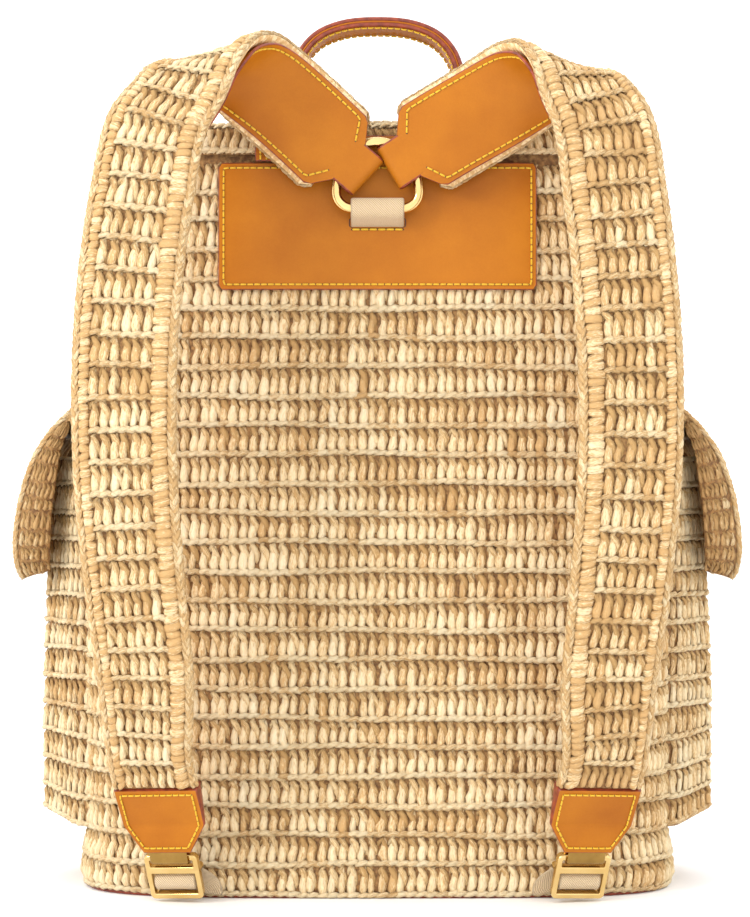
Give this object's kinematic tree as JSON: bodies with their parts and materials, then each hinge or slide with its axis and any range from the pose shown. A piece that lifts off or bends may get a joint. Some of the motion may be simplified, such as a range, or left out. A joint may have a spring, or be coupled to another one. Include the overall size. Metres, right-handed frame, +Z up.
{
  "type": "woven straw backpack",
  "caption": "Crocheted straw backpack with tan leather trim, wide shoulder straps on a gold D-ring, side pockets with flaps, a top flap and a carry handle.",
  "frame": {"origin": "on the floor, under the middle of the outline seen from above", "axes": "+Z up, +X toward the bag's right as the picture shows it, -Y toward the straps and the wearer"},
  "size_m": [0.4266, 0.2958, 0.5014],
  "materials": {
    "straw": "crocheted",
    "leather": "smooth",
    "gold": "polished",
    "webbing": "woven"
  },
  "bodies": {
    "root": {"body": "straw", "base_leather": "leather", "main_flap": "straw", "closing_tab": "leather", "back_patch": "leather", "upper_panel": "leather", "d_ring": "gold", "ring_keeper": "webbing", "carry_handle": "leather", "strap_left": "straw", "strap_lining_left": "leather", "end_tab_left": "leather", "buckle_left": "gold", "adjuster_left": "webbing", "pocket_left": "straw", "pocket_flap_left": "straw", "strap_right": "straw", "strap_lining_right": "leather", "end_tab_right": "leather", "buckle_right": "gold", "adjuster_right": "webbing", "pocket_right": "straw", "pocket_flap_right": "straw"}
  },
  "joints": []
}
